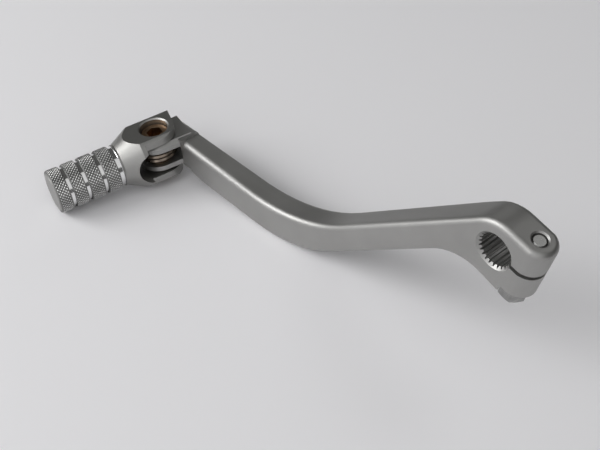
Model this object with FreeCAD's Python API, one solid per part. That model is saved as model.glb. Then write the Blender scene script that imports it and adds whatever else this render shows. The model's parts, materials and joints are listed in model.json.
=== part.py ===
import FreeCAD, Part
import math
import os

# Motorcycle gear shift lever: a forged arm with a splined pinch clamp at one end and a sprung folding
# toe tip at the other. Millimetres. The origin is the middle of the splined bore, +Y runs along the
# spline axis away from the engine, +X from the clamp towards the tip, and +Z is up as the lever lies on
# its belly and its tip.

V = FreeCAD.Vector

# Driving sizes: where the hinge of the tip is from the spline, and how long the tip is
REACH = 136.0
OUTSET = 22.9
DROP = 39.5
TIP_END = 40.3

# Spline and pinch clamp
SPLINE_TEETH = 24
SPLINE_TIP_R = 5.5
SPLINE_ROOT_R = 6.1
SPLINE_LAND = 0.42
SPLINE_VALLEY = 0.22
MOUTH_CHAMFER = 0.4
BOSS_DEPTH = 12.0
CLAMP_DROOP = 13.3
CLAMP_TOP = 10.9
SLOT_WIDTH = 1.5
BOLT_OFFSET = 8.3
BOLT_R = 2.5
BOLT_HOLE_R = 2.75
BOLT_SEAT = 10.0
BOLT_END = 10.3
BOLT_CHAMFER = 0.6
BOLT_COUNTERSINK_R = 3.0
FLANGE_R = 5.2
FLANGE_T = 1.2
HEX_AF = 8.0
HEX_H = 4.6
HEX_CROWN = 1.5
SPOT_FACE_R = 6.3

# Arm, seen from its outer side: the corners of its upper and lower edge, and the arcs that round them
ROOT_TOP_X = 2.2
ROOT_TOP_R = 13.0
ROOT_LOW = (14.1, -9.4)
ROOT_LOW_R = 18.0
HEEL_SLOPE = 18.5
BEND_TOP = (0.550 * REACH, -1.033 * DROP)
BEND_TOP_R = 0.41 * REACH
BEND_LOW = (0.552 * REACH, -1.352 * DROP)
BEND_LOW_R = 0.34 * REACH
BELLY_STEP = 3.5
EDGE_R = 2.3

# Arm, seen from above
ARM_START = 5.0
ARM_TIP_DEPTH = 8.5
ARM_JOIN_X = 10.0

# Stretches of the arm where its outlines turn, as start, end and number of steps
CLAMP_SECTION = -1.65 * BOSS_DEPTH
TURNS = (
    (-0.35 * BOSS_DEPTH, 1.85 * BOSS_DEPTH, 12),
    (0.385 * REACH, 0.73 * REACH, 12),
    (0.85 * REACH, 0.975 * REACH, 6),
)

# Hinge of the folding tip
PIVOT = V(REACH, OUTSET, -DROP)
HINGE_LEAN = 7.0
TIP_YAW = 14.0
TIP_DROOP = 3.4
TONGUE_HALF_W = 7.4
TONGUE_HALF_H = 5.7
TONGUE_CHAMFER = 1.3
SHOULDER = 5.8
HEAD_DEPTH = 5.3
HEAD_CORNER_R = 4.6
ARM_END_HALF_H = 5.4
EAR_ROOM_R = 12.8
SPRING_SLOT_HALF_H = 2.7
SPRING_SLOT_R = 9.6
PIN_R = 5.0
PIN_FIT = 0.02
PIN_RUN = 0.06
PIN_TOP = 7.2
PIN_LOW = -8.4
PIN_CHAMFER = 0.5
PIN_SOCKET_AF = 5.0
PIN_SOCKET_DEPTH = 4.0

# Folding tip, along its own axis from the hinge
BODY_R = 11.2
FLAT_H = 9.36
BODY_END = 8.0
KNURL_START = 15.2
KNURL_R = 7.55
GROOVE_R = 6.95
GROOVE_W = 2.0
GROOVE_SLOPE = 0.25
GROOVES = (16.75, 22.9, 29.2, 35.0)
TIP_CHAMFER = 1.0
FORK_HALF_H = 6.05
FORK_REACH = 11.2
EAR_R = 7.2
EAR_SLOPE = 9.0
FACET_END = 6.5
HOLE_CHAMFER = 0.45

# Torsion spring on the pin
WIRE_R = 0.75
WIRE_SIDES = 6
COIL_R = 6.1
COIL_TURNS = 2.25
COIL_PITCH = 1.6
COIL_START = -60.0

# Length that clears the whole lever, for cutters
FAR = 1.5 * REACH


def rad(a):
    return math.radians(a)


def eb(e, b, y=0.0):
    """Point at e along the clamp, b along its bolt, from the bore's centre."""
    c = math.cos(rad(CLAMP_DROOP))
    s = math.sin(rad(CLAMP_DROOP))
    return V(-c * e - s * b, y, -s * e + c * b)


def filleted(points):
    """Closed wire through (corner, radius) pairs, with a tangent arc at each corner that has a radius."""
    n = len(points)
    ends = []
    for i in range(n):
        p, r = points[i]
        a = (points[i - 1][0] - p).normalize()
        b = (points[(i + 1) % n][0] - p).normalize()
        if r <= 0:
            ends.append((p, None, p))
            continue
        half = 0.5 * a.getAngle(b)
        run = r / math.tan(half)
        mid = p + (a + b).normalize() * (r / math.sin(half) - r)
        ends.append((p + a * run, mid, p + b * run))
    edges = []
    for i in range(n):
        start, mid, stop = ends[i]
        if mid is not None:
            edges.append(Part.Arc(start, mid, stop).toShape())
        after = ends[(i + 1) % n][0]
        if stop.distanceToPoint(after) > 1e-6:
            edges.append(Part.LineSegment(stop, after).toShape())
    return Part.Wire(edges)


def prism(wire, direction):
    return Part.Face(wire).extrude(direction)


def polygon(points):
    return Part.makePolygon(list(points) + [points[0]])


def regular(sides, radius, z=0.0):
    step = 2 * math.pi / sides
    return polygon([V(radius * math.cos(step * i), radius * math.sin(step * i), z) for i in range(sides)])


def hexagon(af, z):
    return regular(6, af / math.sqrt(3), z)


def block(x0, x1, y0, y1, z0, z1):
    return Part.makeBox(x1 - x0, y1 - y0, z1 - z0, V(x0, y0, z0))


def rod(radius, z0, z1):
    return Part.makeCylinder(radius, z1 - z0, V(0, 0, z0))


def hinge_placement():
    """Local y along the folding tip, local z along its hinge."""
    turn = FreeCAD.Rotation(V(0, 1, 0), HINGE_LEAN)
    turn = turn.multiply(FreeCAD.Rotation(V(0, 0, 1), -TIP_YAW))
    turn = turn.multiply(FreeCAD.Rotation(V(1, 0, 0), -TIP_DROOP))
    return FreeCAD.Placement(PIVOT, turn)


def clamp_placement():
    """Local z along the pinch bolt, local x along the clamp, with the origin on the bolt's axis."""
    turn = FreeCAD.Rotation(eb(1, 0), V(0, 0, 0), eb(0, 1), "ZXY")
    return FreeCAD.Placement(eb(BOLT_OFFSET, 0), turn)


def placed(shape, placement):
    out = shape.copy()
    out.Placement = placement.multiply(out.Placement)
    return out


def side_profile():
    """Outline of clamp and arm seen along the spline axis."""
    clamp_end = eb(BOLT_OFFSET + BOSS_DEPTH, CLAMP_TOP)
    rise = math.tan(rad(CLAMP_DROOP))
    root_top = V(ROOT_TOP_X, 0, clamp_end.z + rise * (ROOT_TOP_X - clamp_end.x))
    heel = V(clamp_end.x, 0, ROOT_LOW[1] + (clamp_end.x - ROOT_LOW[0]) * math.tan(rad(HEEL_SLOPE)))
    lean = math.tan(rad(HINGE_LEAN))
    far = PIVOT.x + TONGUE_HALF_W + SHOULDER
    near = PIVOT.x - TONGUE_HALF_W
    top_near = V(near, 0, PIVOT.z + ARM_END_HALF_H + TONGUE_HALF_W * lean)
    top_far = V(far, 0, PIVOT.z + ARM_END_HALF_H - (far - PIVOT.x) * lean)
    low_near = V(near, 0, PIVOT.z - ARM_END_HALF_H + TONGUE_HALF_W * lean)
    low_far = V(far, 0, PIVOT.z - ARM_END_HALF_H - (far - PIVOT.x) * lean)
    low_lift = low_near - V(10, 0, BELLY_STEP)
    return filleted([
        (clamp_end, 0),
        (root_top, ROOT_TOP_R),
        (V(BEND_TOP[0], 0, BEND_TOP[1]), BEND_TOP_R),
        (top_near, 20.0),
        (top_far, 0),
        (low_far, 0),
        (low_near, 10.0),
        (low_lift, 16.0),
        (V(BEND_LOW[0], 0, BEND_LOW[1]), BEND_LOW_R),
        (V(ROOT_LOW[0], 0, ROOT_LOW[1]), ROOT_LOW_R),
        (heel, 0),
    ])


def plan_profile():
    """Outline of clamp and arm seen from above, up to the root of the tongue."""
    hinge = hinge_placement()
    near = hinge.multVec(V(-TONGUE_HALF_W, -SHOULDER, 0))
    far = hinge.multVec(V(TONGUE_HALF_W, -SHOULDER, 0))
    half = BOSS_DEPTH / 2
    back = near - V(0, ARM_TIP_DEPTH, 0)
    end_x = -FAR
    return filleted([
        (V(end_x, half, 0), 0),
        (V(ARM_START, half, 0), 80.0),
        (V(near.x, near.y, 0), 0),
        (V(far.x, near.y, 0), 0),
        (V(far.x, back.y, 0), 0),
        (V(back.x, back.y, 0), 30.0),
        (V(ARM_JOIN_X, -half, 0), 60.0),
        (V(end_x, -half, 0), 0),
    ])


def spline_cutter():
    """Serrated bore: tooth lands on the tip circle and valleys on the root circle."""
    step = 2 * math.pi / SPLINE_TEETH
    land = 0.5 * SPLINE_LAND * step
    valley = 0.5 * SPLINE_VALLEY * step

    def at(r, a):
        return V(r * math.cos(a), 0, r * math.sin(a))

    def arc(r, middle, half):
        return Part.Arc(at(r, middle - half), at(r, middle), at(r, middle + half)).toShape()

    edges = []
    for i in range(SPLINE_TEETH):
        tooth = (i + 0.5) * step
        gap = (i + 1) * step
        edges.append(arc(SPLINE_TIP_R, tooth, land))
        edges.append(Part.LineSegment(at(SPLINE_TIP_R, tooth + land), at(SPLINE_ROOT_R, gap - valley)).toShape())
        edges.append(arc(SPLINE_ROOT_R, gap, valley))
        after = tooth + step - land
        edges.append(Part.LineSegment(at(SPLINE_ROOT_R, gap + valley), at(SPLINE_TIP_R, after)).toShape())
    cutter = prism(Part.Wire(edges), V(0, FAR, 0))
    cutter.translate(V(0, -FAR / 2, 0))
    cutter.rotate(V(0, 0, 0), V(0, 1, 0), -CLAMP_DROOP)
    over = SPLINE_TIP_R
    wide = SPLINE_ROOT_R + MOUTH_CHAMFER + over
    run = wide - SPLINE_TIP_R
    front = Part.makeCone(wide, SPLINE_TIP_R, run, V(0, BOSS_DEPTH / 2 + over, 0), V(0, -1, 0))
    back = Part.makeCone(wide, SPLINE_TIP_R, run, V(0, -BOSS_DEPTH / 2 - over, 0), V(0, 1, 0))
    return [cutter, front, back]


def span(face, start, stop):
    """Extent of a flat face along the line from start to stop."""
    return face.common(Part.LineSegment(start, stop).toShape()).BoundBox


def arm_section(x, side, plan):
    """Rounded rectangle across the arm at x, as tall as the side outline and as wide as the plan."""
    tall = span(side, V(x, 0, -FAR), V(x, 0, FAR))
    wide = span(plan, V(x, -FAR, 0), V(x, FAR, 0))
    return filleted([
        (V(x, wide.YMin, tall.ZMin), EDGE_R),
        (V(x, wide.YMax, tall.ZMin), EDGE_R),
        (V(x, wide.YMax, tall.ZMax), EDGE_R),
        (V(x, wide.YMin, tall.ZMax), EDGE_R),
    ])


def arm_beam():
    """Clamp and arm as one ruled loft, with sections only where the outlines turn."""
    side = Part.Face(side_profile())
    plan = Part.Face(plan_profile())
    places = [CLAMP_SECTION]
    for start, stop, count in TURNS:
        places += [start + (stop - start) * i / count for i in range(count + 1)]
    sections = [arm_section(x, side, plan) for x in places]
    return Part.makeLoft(sections, True, True)


def clamp_end():
    """What is cut away past the bolt to round the clamp's end about it, with a rounded upper rim."""
    post = rod(BOSS_DEPTH / 2 + 0.05, -FAR, CLAMP_TOP)
    rim = [e for e in post.Edges if e.BoundBox.ZMin > CLAMP_TOP - 0.01]
    post = post.makeFillet(EDGE_R - 0.2, rim)
    return block(0, FAR, -FAR, FAR, -FAR / 2, FAR).cut(post)


def hinge_head():
    """Block at the arm's end, square to the hinge, that the tongue stands out of."""
    h = ARM_END_HALF_H
    w = TONGUE_HALF_W
    deep = SHOULDER + HEAD_DEPTH
    outline = filleted([
        (V(-w - 1.3, -SHOULDER - 0.6, -h), 0),
        (V(-w, -SHOULDER, -h), 0),
        (V(w, -SHOULDER, -h), 0),
        (V(w, -deep, -h), HEAD_CORNER_R),
        (V(-w + 1.0, -deep - 2.7, -h), 0),
    ])
    head = prism(outline, V(0, 0, 2 * h))
    rims = []
    for edge in head.Edges:
        box = edge.BoundBox
        back = box.YMax < -SHOULDER + 0.1 and box.YLength > 0.1 and box.XMax > -w + 1.1
        if box.ZLength < 0.01 and back:
            rims.append(edge)
    return head.makeFillet(EDGE_R - 0.5, rims)


def tongue():
    w = TONGUE_HALF_W
    h = TONGUE_HALF_H
    base = -SHOULDER - HEAD_DEPTH
    outline = Part.Wire([
        Part.LineSegment(V(-w, base, -h), V(w, base, -h)).toShape(),
        Part.LineSegment(V(w, base, -h), V(w, 0, -h)).toShape(),
        Part.Arc(V(w, 0, -h), V(0, w, -h), V(-w, 0, -h)).toShape(),
        Part.LineSegment(V(-w, 0, -h), V(-w, base, -h)).toShape(),
    ])
    plates = prism(outline, V(0, 0, 2 * h))
    rim = [e for e in plates.Edges if e.BoundBox.ZLength < 0.01 and e.BoundBox.YMax > base + 0.1]
    return plates.makeChamfer(TONGUE_CHAMFER, rim)


def shift_arm():
    hinge = hinge_placement()
    clamp = clamp_placement()
    body = arm_beam().cut(placed(clamp_end(), clamp))
    body = body.fuse(placed(hinge_head(), hinge)).fuse(placed(tongue(), hinge))
    ear_room = rod(EAR_ROOM_R, TONGUE_HALF_H, FAR).fuse(rod(EAR_ROOM_R, -FAR, -TONGUE_HALF_H))
    slot = rod(SPRING_SLOT_R, -SPRING_SLOT_HALF_H, SPRING_SLOT_HALF_H)
    bore = rod(PIN_R + PIN_RUN, -FAR, FAR)
    tools = [placed(c, hinge) for c in (ear_room, slot, bore)]
    sink = BOLT_COUNTERSINK_R - BOLT_R
    sink_top = BOLT_COUNTERSINK_R + sink
    cuts = [
        block(-BOLT_OFFSET, FAR, -FAR, FAR, -SLOT_WIDTH / 2, SLOT_WIDTH / 2),
        rod(BOLT_HOLE_R, -FAR, 0),
        rod(BOLT_R + PIN_FIT, 0, FAR),
        rod(SPOT_FACE_R, -FAR, -BOLT_SEAT),
        Part.makeCone(BOLT_R, sink_top, 2 * sink, V(0, 0, CLAMP_TOP - sink)),
    ]
    tools += [placed(c, clamp) for c in cuts] + spline_cutter()
    for tool in tools:
        body = body.cut(tool)
    return body.removeSplitter().Solids[0]


def pinch_bolt():
    shank = rod(BOLT_R, -BOLT_SEAT, BOLT_END)
    end = [e for e in shank.Edges if e.BoundBox.ZMin > BOLT_END - 0.01]
    shank = shank.makeChamfer(BOLT_CHAMFER, end)
    under = -BOLT_SEAT - FLANGE_T
    low = under - HEX_H
    flange = Part.makeCone(FLANGE_R - 0.5, FLANGE_R, FLANGE_T, V(0, 0, under))
    head = prism(hexagon(HEX_AF, low), V(0, 0, HEX_H + FLANGE_T / 2))
    crown_r = HEX_AF / 2
    flare = crown_r + HEX_CROWN * math.sqrt(3)
    crown = Part.makeCone(crown_r, flare, HEX_CROWN, V(0, 0, low)).fuse(rod(flare, low + HEX_CROWN, BOLT_END))
    bolt = shank.fuse(flange).fuse(head.common(crown)).removeSplitter()
    return placed(bolt.Solids[0], clamp_placement())


def tip_blank():
    """Turned blank of the folding tip: a round body, a cone, and grooved lands for the toe."""
    outline = [V(0, -FAR / 2, 0), V(BODY_R, -FAR / 2, 0), V(BODY_R, BODY_END, 0), V(KNURL_R, KNURL_START, 0)]
    for g in GROOVES:
        start = g - GROOVE_W / 2
        stop = g + GROOVE_W / 2
        outline.append(V(KNURL_R, start, 0))
        outline.append(V(GROOVE_R, start + GROOVE_SLOPE, 0))
        outline.append(V(GROOVE_R, stop - GROOVE_SLOPE, 0))
        outline.append(V(KNURL_R, stop, 0))
    outline.append(V(KNURL_R, TIP_END - TIP_CHAMFER, 0))
    outline.append(V(KNURL_R - TIP_CHAMFER, TIP_END, 0))
    outline.append(V(0, TIP_END, 0))
    return Part.Face(polygon(outline)).revolve(V(0, 0, 0), V(0, 1, 0), 360)


def ear_outline():
    """Plan of the fork's ears: round on the side that swings past the arm, straight on the other."""
    z = -BODY_R
    wide = 2 * BODY_R
    long = TIP_END + BODY_R
    drop = EAR_R + wide * math.tan(rad(EAR_SLOPE))
    c = EAR_R * math.sqrt(0.5)
    corners = [V(0, -EAR_R, z), V(wide, -drop, z), V(wide, long, z), V(-wide, long, z), V(-wide, FACET_END, z),
               V(-EAR_R, FACET_END, z), V(-EAR_R, 0, z)]
    edges = [Part.LineSegment(a, b).toShape() for a, b in zip(corners[:-1], corners[1:])]
    edges.append(Part.Arc(V(-EAR_R, 0, z), V(-c, -c, z), V(0, -EAR_R, z)).toShape())
    return Part.Wire(edges)


def folding_tip():
    body = tip_blank()
    for low, high in ((FLAT_H, FAR), (-FAR, -FLAT_H)):
        body = body.cut(block(-FAR, FAR, -FAR, FAR, low, high))
    root = FORK_REACH - FORK_HALF_H
    fork = block(-BODY_R * 2, BODY_R * 2, -FAR, root, -FORK_HALF_H, FORK_HALF_H)
    end = Part.makeCylinder(FORK_HALF_H, BODY_R * 4, V(-BODY_R * 2, root, 0), V(1, 0, 0))
    body = body.cut(fork.fuse(end)).common(prism(ear_outline(), V(0, 0, 2 * BODY_R)))
    hole = rod(PIN_R + PIN_FIT, -FAR, FAR)
    wide = PIN_R + 2 * HOLE_CHAMFER
    mouth = Part.makeCone(PIN_R, wide, 2 * HOLE_CHAMFER, V(0, 0, FLAT_H - HOLE_CHAMFER))
    foot = Part.makeCone(PIN_R, wide, 2 * HOLE_CHAMFER, V(0, 0, -FLAT_H + HOLE_CHAMFER), V(0, 0, -1))
    body = body.cut(hole).cut(mouth).cut(foot)
    return placed(body.removeSplitter().Solids[0], hinge_placement())


def pivot_pin():
    pin = rod(PIN_R, PIN_LOW, PIN_TOP)
    pin = pin.makeChamfer(PIN_CHAMFER, [e for e in pin.Edges if e.BoundBox.ZLength < 0.01])
    socket = prism(hexagon(PIN_SOCKET_AF, PIN_TOP - PIN_SOCKET_DEPTH), V(0, 0, 2 * PIN_SOCKET_DEPTH))
    return placed(pin.cut(socket), hinge_placement())


def return_spring():
    """Coil of wire round the pin, between the tongue's two plates."""
    rise = COIL_TURNS * COIL_PITCH
    helix = Part.makeHelix(COIL_PITCH, rise, COIL_R)
    climb = math.degrees(math.atan2(COIL_PITCH, 2 * math.pi * COIL_R))
    wire = regular(WIRE_SIDES, WIRE_R)
    wire.Placement = FreeCAD.Placement(V(COIL_R, 0, 0), FreeCAD.Rotation(V(1, 0, 0), climb - 90))
    coil = Part.Wire(helix.Edges).makePipeShell([wire], True, True)
    coil.translate(V(0, 0, -rise / 2))
    coil.rotate(V(0, 0, 0), V(0, 0, 1), COIL_START)
    return placed(coil, hinge_placement())


def main():
    os.makedirs("parts", exist_ok=True)
    nodes = {
        "shift_arm": shift_arm(),
        "pinch_bolt": pinch_bolt(),
        "folding_tip": folding_tip(),
        "pivot_pin": pivot_pin(),
        "return_spring": return_spring(),
    }
    for name, shape in nodes.items():
        shape.exportStep(os.path.join("parts", name + ".step"))
        print(name, "valid", shape.isValid(), "solids", len(shape.Solids), "volume", round(shape.Volume, 1))


main()
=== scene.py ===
import json
import math

import bpy
import bmesh
from mathutils import Matrix, Vector


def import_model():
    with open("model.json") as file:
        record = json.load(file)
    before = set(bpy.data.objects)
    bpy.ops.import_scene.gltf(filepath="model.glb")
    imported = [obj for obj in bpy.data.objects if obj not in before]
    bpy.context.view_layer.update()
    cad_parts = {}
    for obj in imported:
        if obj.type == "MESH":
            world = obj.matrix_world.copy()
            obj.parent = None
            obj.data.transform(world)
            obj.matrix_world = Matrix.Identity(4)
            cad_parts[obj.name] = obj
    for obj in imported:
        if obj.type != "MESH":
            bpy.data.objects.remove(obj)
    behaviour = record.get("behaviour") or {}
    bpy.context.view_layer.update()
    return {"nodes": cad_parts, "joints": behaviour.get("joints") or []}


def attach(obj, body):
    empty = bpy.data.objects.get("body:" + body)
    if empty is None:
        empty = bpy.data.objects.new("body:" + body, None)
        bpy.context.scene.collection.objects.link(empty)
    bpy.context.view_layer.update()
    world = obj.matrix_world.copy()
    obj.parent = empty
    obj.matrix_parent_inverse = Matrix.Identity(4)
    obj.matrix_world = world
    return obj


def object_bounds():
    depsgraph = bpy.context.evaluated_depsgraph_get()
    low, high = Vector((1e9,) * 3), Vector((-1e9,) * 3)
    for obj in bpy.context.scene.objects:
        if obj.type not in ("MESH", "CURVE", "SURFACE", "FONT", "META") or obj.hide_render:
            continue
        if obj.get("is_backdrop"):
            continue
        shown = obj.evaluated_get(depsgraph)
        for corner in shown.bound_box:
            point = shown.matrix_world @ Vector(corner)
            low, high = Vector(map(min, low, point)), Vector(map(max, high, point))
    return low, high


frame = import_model()

MM = 0.001

# Points of the arm closer than this are joined, and edges that turn by more than the angle stay sharp
WELD = 0.002 * MM
SHARP = math.radians(26.0)

# Hinge of the folding tip: its axis is the joint's, and the tip's own axis is local y
PIVOT = Vector(frame["joints"][0]["pos_m"])
HINGE_LEAN = math.radians(7.0)
TIP_YAW = math.radians(14.0)
TIP_DROOP = math.radians(3.4)

# Knurled lands between the polished grooves, along the tip's axis in millimetres
LAND_STARTS = (17.4, 23.55, 29.85, 35.65)
LAND_ENDS = (22.25, 28.55, 34.35, 40.0)
LAND_WALL_R = 6.98
TIP_WALL_R = 6.9
GROOVE_FLOOR_R = 7.2
SHANK_START = 15.3
KNURL_PEAK_R = 7.86
KNURL_VALLEY_R = 7.57
KNURL_TEETH = 40
KNURL_SAMPLES = 6
KNURL_CROWN = 1.3

# The knurl fades out at the edges of a land over this share of a tooth
KNURL_RUN_OUT = 1 / 6

# Threads of the pinch bolt and the pivot pin, along their own axes in millimetres
CLAMP_DROOP = math.radians(13.3)
BOLT_OFFSET = 8.3
BOLT_THREAD = {"core": 2.46, "crest": 2.515, "start": 0.9, "stop": 9.6, "pitch": 0.8}
PIN_THREAD = {"core": 4.97, "crest": 5.012, "start": -8.0, "stop": -6.2, "pitch": 0.9}
THREAD_SIDES = 40

# Half widths of a ridge in pitches, the turns it takes to run out, and the share of its height at the end
THREAD_BASE = 0.45
THREAD_TOP = 0.08
THREAD_RUN_OUT = 0.5
THREAD_END = 0.15

# Camera as in the photograph
CAMERA_POS = Vector((-150.8, 224.2, 262.6)) * MM
CAMERA_RIGHT = Vector((-0.6776, -0.7354, 0.0124))
CAMERA_UP = Vector((0.5200, -0.4670, 0.7152))
CAMERA_LENS = 78.0
CAMERA_SENSOR = 36.0
CAMERA_NEAR = 0.01

# Looks: dark and light tone, then the roughness that goes with each
ALLOY = ((0.36, 0.357, 0.347), (0.40, 0.397, 0.387), 0.42, 0.52)
BOLT_ZINC = ((0.27, 0.27, 0.265), (0.38, 0.38, 0.37), 0.2, 0.34)
PIN_ZINC = ((0.20, 0.12, 0.07), (0.40, 0.27, 0.17), 0.22, 0.38)
SPRING_WIRE = ((0.16, 0.13, 0.11), (0.36, 0.3, 0.24), 0.22, 0.36)
# Knurl: the dark tone is painted shade in the valleys and the light tone is a painted glint on the points
KNURL_PAINTED_SHADE_AND_GLINT = ((0.16, 0.16, 0.155), (0.78, 0.78, 0.77), 0.42, 0.22)
TIP_SATIN = ((0.31, 0.307, 0.297), (0.36, 0.357, 0.345))
TIP_POLISH = (0.85, 0.85, 0.85)
TIP_SATIN_ROUGHNESS = 0.42
TIP_POLISH_ROUGHNESS = 0.1
FLOOR = ((0.88, 0.875, 0.89), (0.9, 0.895, 0.91))
FLOOR_ROUGHNESS = 0.7
FLOOR_SIZE = 6.0
TINT_FROM = 0.3
TINT_TO = 0.7

# Plain tone and roughness where the textures are not drawn
ALLOY_PLAIN = ((0.6, 0.6, 0.6), 0.4)
TIP_PLAIN_ROUGHNESS = 0.4
KNURL_PLAIN_ROUGHNESS = 0.3
FLOOR_PLAIN = (0.8, 0.8, 0.82)

# Textures: scale and detail of the clouds and grain, then strength and depth of the bumps
ALLOY_CLOUD = (60.0, 3.0)
ALLOY_GRAIN = (5200.0, 2.0)
ALLOY_BUMP = (0.18, 0.06 * MM)
TIP_CLOUD = (240.0, 3.0)
TIP_GRAIN = (4200.0, 1.0)
TIP_BUMP = (0.08, 0.04 * MM)
PLATE_CLOUD = (420.0, 4.0)
FLOOR_CLOUD = (3.0, 2.0)

# Room: dark behind the lever and bright in front of it
ROOM_BACK = (0.17, 0.17, 0.165)
ROOM_FRONT = (0.75, 0.75, 0.78)
ROOM_FRONT_FROM = 0.8
ROOM_STRENGTH = 0.5

# Lamps: place, point aimed at, width and height in metres, and watts
LEVER = (0.06, 0.02, -0.03)
ARM_BACK = (0.06, 0.0, -0.03)
CLAMP = (0.0, 0.0, 0.0)
LAMPS = {
    "front": ((-0.36, 0.62, 0.75), LEVER, (2.0, 2.0), 7.2),
    "key": ((0.71, 0.69, 0.53), LEVER, (0.6, 0.5), 5.8),
    "edge": ((0.95, 0.48, 0.24), LEVER, (0.4, 0.3), 0.6),
    "brow": ((0.1, 0.95, 0.78), CLAMP, (0.35, 0.35), 1.0),
    "back": ((-0.15, -0.8, 1.0), ARM_BACK, (0.5, 0.5), 0.8),
    "rear": ((0.8, -0.75, 0.65), ARM_BACK, (0.5, 0.5), 0.4),
}


def hinge_matrix():
    """Local y along the folding tip, local z along its hinge."""
    turn = Matrix.Rotation(HINGE_LEAN, 4, "Y") @ Matrix.Rotation(-TIP_YAW, 4, "Z")
    return Matrix.Translation(PIVOT) @ turn @ Matrix.Rotation(-TIP_DROOP, 4, "X")


def bolt_matrix():
    """Local z along the pinch bolt."""
    offset = Vector((-math.cos(CLAMP_DROOP), 0.0, -math.sin(CLAMP_DROOP))) * BOLT_OFFSET * MM
    return Matrix.Translation(offset) @ Matrix.Rotation(-CLAMP_DROOP, 4, "Y")


def material(name, color, roughness, metallic=1.0):
    mat = bpy.data.materials.new(name)
    mat.use_nodes = True
    shader = mat.node_tree.nodes["Principled BSDF"]
    shader.inputs["Base Color"].default_value = (*color, 1.0)
    shader.inputs["Roughness"].default_value = roughness
    shader.inputs["Metallic"].default_value = metallic
    return mat, mat.node_tree, shader


def noise(tree, scale, detail):
    coords = tree.nodes.new("ShaderNodeTexCoord")
    node = tree.nodes.new("ShaderNodeTexNoise")
    node.inputs["Scale"].default_value = scale
    node.inputs["Detail"].default_value = detail
    tree.links.new(coords.outputs["Object"], node.inputs["Vector"])
    return node.outputs["Fac"]


def spread(tree, source, target, low, high):
    """Maps a 0 to 1 texture onto a socket between low and high."""
    node = tree.nodes.new("ShaderNodeMapRange")
    node.inputs["To Min"].default_value = low
    node.inputs["To Max"].default_value = high
    tree.links.new(source, node.inputs["Value"])
    tree.links.new(node.outputs["Result"], target)


def tint(tree, source, shader, dark, light):
    """Colours a surface between two tones by a 0 to 1 texture."""
    ramp = tree.nodes.new("ShaderNodeValToRGB")
    ramp.color_ramp.elements[0].position = TINT_FROM
    ramp.color_ramp.elements[0].color = (*dark, 1.0)
    ramp.color_ramp.elements[1].position = TINT_TO
    ramp.color_ramp.elements[1].color = (*light, 1.0)
    tree.links.new(source, ramp.inputs["Fac"])
    tree.links.new(ramp.outputs["Color"], shader.inputs["Base Color"])


def bump(tree, source, shader, strength, distance):
    node = tree.nodes.new("ShaderNodeBump")
    node.inputs["Strength"].default_value = strength
    node.inputs["Distance"].default_value = distance
    tree.links.new(source, node.inputs["Height"])
    tree.links.new(node.outputs["Normal"], shader.inputs["Normal"])


def blasted_alloy(name, dark, light, low, high):
    """Bead-blasted alloy: faint clouds and a fine grain."""
    mat, tree, shader = material(name, *ALLOY_PLAIN)
    cloud = noise(tree, *ALLOY_CLOUD)
    tint(tree, cloud, shader, dark, light)
    spread(tree, cloud, shader.inputs["Roughness"], low, high)
    bump(tree, noise(tree, *ALLOY_GRAIN), shader, *ALLOY_BUMP)
    return mat


def calculate(tree, operation, first, second):
    node = tree.nodes.new("ShaderNodeMath")
    node.operation = operation
    for socket, value in zip(node.inputs, (first, second)):
        if isinstance(value, float):
            socket.default_value = value
        else:
            tree.links.new(value, socket)
    return node.outputs["Value"]


def groove_mask(tree):
    """One on the polished floors of the tip's grooves, and zero elsewhere."""
    coords = tree.nodes.new("ShaderNodeTexCoord")
    local = tree.nodes.new("ShaderNodeMapping")
    local.vector_type = "TEXTURE"
    local.inputs["Location"].default_value = PIVOT
    local.inputs["Rotation"].default_value = hinge_matrix().to_euler()
    split = tree.nodes.new("ShaderNodeSeparateXYZ")
    tree.links.new(coords.outputs["Object"], local.inputs["Vector"])
    tree.links.new(local.outputs["Vector"], split.inputs["Vector"])
    across = calculate(tree, "POWER", split.outputs["X"], 2.0)
    upright = calculate(tree, "POWER", split.outputs["Z"], 2.0)
    radius = calculate(tree, "SQRT", calculate(tree, "ADD", across, upright), 0.0)
    inside = calculate(tree, "LESS_THAN", radius, GROOVE_FLOOR_R * MM)
    along = calculate(tree, "GREATER_THAN", split.outputs["Y"], SHANK_START * MM)
    short = calculate(tree, "LESS_THAN", split.outputs["Y"], LAND_STARTS[-1] * MM)
    return calculate(tree, "MULTIPLY", calculate(tree, "MULTIPLY", inside, along), short)


def turned_metal(name, dark, light, polished):
    """Satin machined metal, polished in the grooves."""
    mat, tree, shader = material(name, light, TIP_PLAIN_ROUGHNESS)
    mask = groove_mask(tree)
    satin = tree.nodes.new("ShaderNodeValToRGB")
    satin.color_ramp.elements[0].color = (*dark, 1.0)
    satin.color_ramp.elements[1].color = (*light, 1.0)
    tree.links.new(noise(tree, *TIP_CLOUD), satin.inputs["Fac"])
    blend = tree.nodes.new("ShaderNodeMix")
    blend.data_type = "RGBA"
    blend.inputs["B"].default_value = (*polished, 1.0)
    tree.links.new(mask, blend.inputs["Factor"])
    tree.links.new(satin.outputs["Color"], blend.inputs["A"])
    tree.links.new(blend.outputs["Result"], shader.inputs["Base Color"])
    spread(tree, mask, shader.inputs["Roughness"], TIP_SATIN_ROUGHNESS, TIP_POLISH_ROUGHNESS)
    bump(tree, noise(tree, *TIP_GRAIN), shader, *TIP_BUMP)
    return mat


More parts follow.
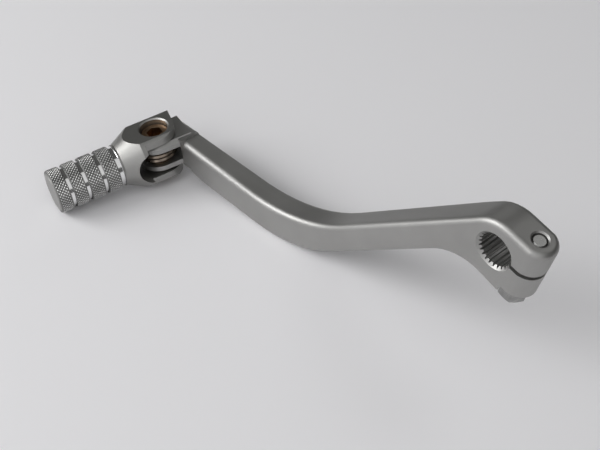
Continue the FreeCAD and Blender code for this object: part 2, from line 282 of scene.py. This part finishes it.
def knurl_painted_light(name, valley_painted_shade, peak_painted_glint, low, high):
    """Plated knurl: painted glints on the points over painted shade in the valleys, set by the tooth
    height.
    """
    mat, tree, shader = material(name, peak_painted_glint, KNURL_PLAIN_ROUGHNESS)
    level = tree.nodes.new("ShaderNodeAttribute")
    level.attribute_name = "height"
    # Painted shade in the valleys and painted glints on the points, from the tooth height
    tint(tree, level.outputs["Fac"], shader, valley_painted_shade, peak_painted_glint)
    spread(tree, level.outputs["Fac"], shader.inputs["Roughness"], low, high)
    return mat


def clouded_metal(name, dark, light, low, high):
    """Plated or oiled metal with small clouds in its tone and gloss."""
    mat, tree, shader = material(name, light, low)
    cloud = noise(tree, *PLATE_CLOUD)
    tint(tree, cloud, shader, dark, light)
    spread(tree, cloud, shader.inputs["Roughness"], low, high)
    return mat


def smooth_bends(obj):
    """Shades the joined faces of a bend as one, and keeps sharp edges."""
    tree = bpy.data.node_groups.new("smooth_bends", "GeometryNodeTree")
    tree.interface.new_socket("Geometry", in_out="INPUT", socket_type="NodeSocketGeometry")
    tree.interface.new_socket("Geometry", in_out="OUTPUT", socket_type="NodeSocketGeometry")
    start = tree.nodes.new("NodeGroupInput")
    weld = tree.nodes.new("GeometryNodeMergeByDistance")
    weld.inputs["Distance"].default_value = WELD
    drop = tree.nodes.new("GeometryNodeRemoveAttribute")
    drop.inputs["Name"].default_value = "custom_normal"
    angle = tree.nodes.new("GeometryNodeInputMeshEdgeAngle")
    turn = tree.nodes.new("FunctionNodeCompare")
    turn.operation = "LESS_THAN"
    turn.inputs["B"].default_value = SHARP
    faces = tree.nodes.new("GeometryNodeSetShadeSmooth")
    edges = tree.nodes.new("GeometryNodeSetShadeSmooth")
    edges.domain = "EDGE"
    stop = tree.nodes.new("NodeGroupOutput")
    tree.links.new(angle.outputs["Unsigned Angle"], turn.inputs["A"])
    tree.links.new(turn.outputs["Result"], edges.inputs["Shade Smooth"])
    chain = (start, weld, drop, faces, edges, stop)
    for before, after in zip(chain[:-1], chain[1:]):
        tree.links.new(before.outputs["Geometry"], after.inputs["Geometry"])
    obj.modifiers.new("smooth_bends", "NODES").node_group = tree


def paint(obj, mat):
    obj.data.materials.clear()
    obj.data.materials.append(mat)


def join_rings(bm, rings):
    """Faces between each ring of points and the next."""
    around = len(rings[0])
    for low, high in zip(rings[:-1], rings[1:]):
        for i in range(around):
            k = (i + 1) % around
            bm.faces.new((low[i], high[i], high[k], low[k]))


def link_mesh(bm, name, matrix):
    bmesh.ops.recalc_face_normals(bm, faces=bm.faces)
    mesh = bpy.data.meshes.new(name)
    bm.to_mesh(mesh)
    bm.free()
    mesh.transform(matrix)
    obj = bpy.data.objects.new(name, mesh)
    bpy.context.scene.collection.objects.link(obj)
    return obj


def saw(x):
    """One at whole numbers and zero half way between them."""
    return abs((x % 1.0) * 2 - 1)


def knurl_land(start, stop, stop_wall_r):
    """One land of diamond knurl: two crossed helical saw-tooth patterns on a closed ring."""
    around = KNURL_TEETH * KNURL_SAMPLES
    pitch = 2 * math.pi * KNURL_PEAK_R / KNURL_TEETH
    rows = int(round((stop - start) / pitch * KNURL_SAMPLES))
    depth = KNURL_PEAK_R - KNURL_VALLEY_R
    angles = [2 * math.pi * i / around for i in range(around)]
    bm = bmesh.new()
    # Tooth height per point, which the knurl material turns into painted shade low down and painted
    # glints on top
    level = bm.verts.layers.float.new("height")

    def point(r, t, angle):
        return bm.verts.new((r * math.cos(angle) * MM, t * MM, r * math.sin(angle) * MM))

    rings = []
    for j in range(rows + 1):
        t = start + (stop - start) * j / rows
        edge = min(1.0, min(t - start, stop - t) / (KNURL_RUN_OUT * pitch))
        v = (t - start) / pitch
        ring = []
        for i, angle in enumerate(angles):
            u = i / KNURL_SAMPLES
            height = min(saw(u + v), saw(u - v)) * edge
            vert = point(KNURL_VALLEY_R + depth * (1 - (1 - height) ** KNURL_CROWN), t, angle)
            vert[level] = height
            ring.append(vert)
        rings.append(ring)
    first = [point(LAND_WALL_R, start, angle) for angle in angles]
    last = [point(stop_wall_r, stop, angle) for angle in angles]
    join_rings(bm, [first] + rings + [last, first])
    return link_mesh(bm, "knurl_land", hinge_matrix())


def thread(name, sizes, matrix):
    """One helical ridge between the core and the crest, running out at both ends."""
    turns = (sizes["stop"] - sizes["start"]) / sizes["pitch"]
    steps = int(turns * THREAD_SIDES)
    bm = bmesh.new()
    rows = []
    for j in range(steps + 1):
        angle = 2 * math.pi * j / THREAD_SIDES
        z = sizes["start"] + sizes["pitch"] * j / THREAD_SIDES
        rise = min(1.0, THREAD_END + min(j, steps - j) / (THREAD_RUN_OUT * THREAD_SIDES))
        core = sizes["core"]
        crest = core + (sizes["crest"] - core) * rise
        profile = ((core, -THREAD_BASE), (crest, -THREAD_TOP), (crest, THREAD_TOP), (core, THREAD_BASE))
        row = []
        for r, dz in profile:
            height = z + dz * sizes["pitch"]
            row.append(bm.verts.new((r * math.cos(angle) * MM, r * math.sin(angle) * MM, height * MM)))
        rows.append(row)
    join_rings(bm, rows)
    bm.faces.new(rows[0])
    bm.faces.new(rows[-1])
    return link_mesh(bm, name, matrix)


def area_light(name, place, target, size, power):
    data = bpy.data.lights.new(name, "AREA")
    data.shape = "RECTANGLE"
    data.size, data.size_y = size
    data.energy = power
    obj = bpy.data.objects.new(name, data)
    obj.location = place
    obj.rotation_euler = (Vector(target) - Vector(place)).to_track_quat("-Z", "Y").to_euler()
    bpy.context.scene.collection.objects.link(obj)


def camera():
    data = bpy.data.cameras.new("camera")
    data.sensor_fit = "HORIZONTAL"
    data.sensor_width = CAMERA_SENSOR
    data.lens = CAMERA_LENS
    data.clip_start = CAMERA_NEAR
    obj = bpy.data.objects.new("camera", data)
    back = CAMERA_RIGHT.cross(CAMERA_UP)
    turn = Matrix((CAMERA_RIGHT, CAMERA_UP, back)).transposed().to_4x4()
    obj.matrix_world = Matrix.Translation(CAMERA_POS) @ turn
    bpy.context.scene.collection.objects.link(obj)
    bpy.context.scene.camera = obj


def floor(low_z):
    bpy.ops.mesh.primitive_plane_add(size=FLOOR_SIZE, location=(LEVER[0], LEVER[1], low_z))
    obj = bpy.context.object
    obj.name = "floor"
    mat, tree, shader = material("floor", FLOOR_PLAIN, FLOOR_ROUGHNESS, 0.0)
    tint(tree, noise(tree, *FLOOR_CLOUD), shader, *FLOOR)
    obj.data.materials.append(mat)
    obj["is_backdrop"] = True


def world():
    """A room that brightens from behind the lever towards its front."""
    scene = bpy.context.scene
    scene.world = bpy.data.worlds.new("studio")
    scene.world.use_nodes = True
    tree = scene.world.node_tree
    coords = tree.nodes.new("ShaderNodeTexCoord")
    split = tree.nodes.new("ShaderNodeSeparateXYZ")
    ramp = tree.nodes.new("ShaderNodeValToRGB")
    ramp.color_ramp.elements[0].color = (*ROOM_BACK, 1.0)
    ramp.color_ramp.elements[1].position = ROOM_FRONT_FROM
    ramp.color_ramp.elements[1].color = (*ROOM_FRONT, 1.0)
    tree.links.new(coords.outputs["Generated"], split.inputs["Vector"])
    tree.links.new(split.outputs["Y"], ramp.inputs["Fac"])
    tree.links.new(ramp.outputs["Color"], tree.nodes["Background"].inputs["Color"])
    tree.nodes["Background"].inputs["Strength"].default_value = ROOM_STRENGTH


def main():
    nodes = frame["nodes"]
    alloy = blasted_alloy("forged_alloy", *ALLOY)
    tip_metal = turned_metal("machined_tip", *TIP_SATIN, TIP_POLISH)
    knurl_painted_light_metal = knurl_painted_light("knurled_tip_painted_light", *KNURL_PAINTED_SHADE_AND_GLINT)
    bolt_metal = clouded_metal("bright_zinc", *BOLT_ZINC)
    pin_metal = clouded_metal("yellow_zinc", *PIN_ZINC)
    wire_metal = clouded_metal("spring_steel", *SPRING_WIRE)
    paint(nodes["shift_arm"], alloy)
    smooth_bends(nodes["shift_arm"])
    paint(nodes["folding_tip"], tip_metal)
    paint(nodes["pinch_bolt"], bolt_metal)
    paint(nodes["pivot_pin"], pin_metal)
    paint(nodes["return_spring"], wire_metal)
    stop_walls = [LAND_WALL_R] * (len(LAND_ENDS) - 1) + [TIP_WALL_R]
    for i, (start, stop, wall) in enumerate(zip(LAND_STARTS, LAND_ENDS, stop_walls)):
        land = knurl_land(start, stop, wall)
        land.name = "knurl_land_%d" % (i + 1)
        paint(land, knurl_painted_light_metal)
        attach(land, "tip")
    bolt_thread = thread("bolt_thread", BOLT_THREAD, bolt_matrix())
    paint(bolt_thread, bolt_metal)
    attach(bolt_thread, "arm")
    pin_thread = thread("pin_thread", PIN_THREAD, hinge_matrix())
    paint(pin_thread, pin_metal)
    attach(pin_thread, "tip")
    floor(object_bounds()[0][2])
    for name, lamp in LAMPS.items():
        area_light(name, *lamp)
    world()
    camera()
    bpy.context.scene.view_settings.view_transform = "Standard"


main()
